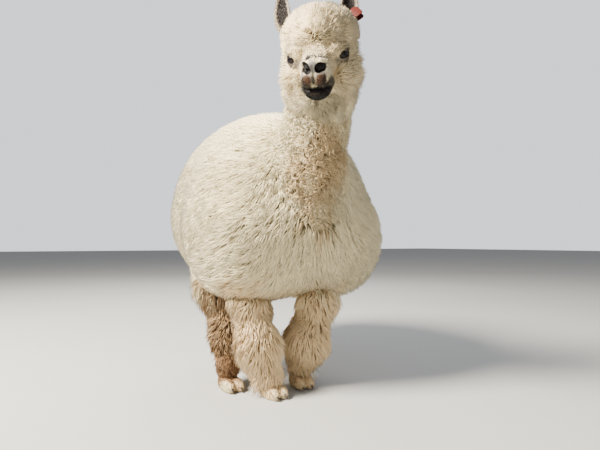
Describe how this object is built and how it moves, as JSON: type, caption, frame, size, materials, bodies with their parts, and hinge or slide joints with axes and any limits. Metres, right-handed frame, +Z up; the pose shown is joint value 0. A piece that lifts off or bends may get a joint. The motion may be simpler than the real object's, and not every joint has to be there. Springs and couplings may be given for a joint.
{
  "type": "alpaca",
  "caption": "Life-size still model of a huacaya alpaca in full fleece, walking, with its head turned to its right.",
  "frame": {"origin": "on the floor, under the middle of the animal's bounding box", "axes": "+Z up; the trunk's length lies along Y, with the head towards -Y; the animal's left is +X"},
  "size_m": [0.7386, 1.2184, 1.3332],
  "materials": {
    "fleece": "dense crimped cream-white wool",
    "leg_fleece": "tan-cream wool in hanging locks",
    "skin": "grey-brown skin under short hair",
    "eye": "dark wet eye",
    "nail": "dark horn",
    "tag": "faded red flexible plastic, blank"
  },
  "bodies": {
    "root": {"trunk": "fleece", "neck": "fleece", "head": "fleece", "tail": "fleece", "foreleg_right": "leg_fleece", "foreleg_left": "leg_fleece", "hindleg_right": "leg_fleece", "hindleg_left": "leg_fleece", "ear_left": "skin", "ear_right": "skin", "forefoot_right": "skin", "forefoot_left": "skin", "hindfoot_right": "skin", "hindfoot_left": "skin", "eye_left": "eye", "eye_right": "eye", "forefoot_right_nail_left": "nail", "forefoot_right_nail_right": "nail", "forefoot_left_nail_left": "nail", "forefoot_left_nail_right": "nail", "hindfoot_right_nail_left": "nail", "hindfoot_right_nail_right": "nail", "hindfoot_left_nail_left": "nail", "hindfoot_left_nail_right": "nail", "eartag_front": "tag", "eartag_back": "tag"}
  },
  "joints": []
}
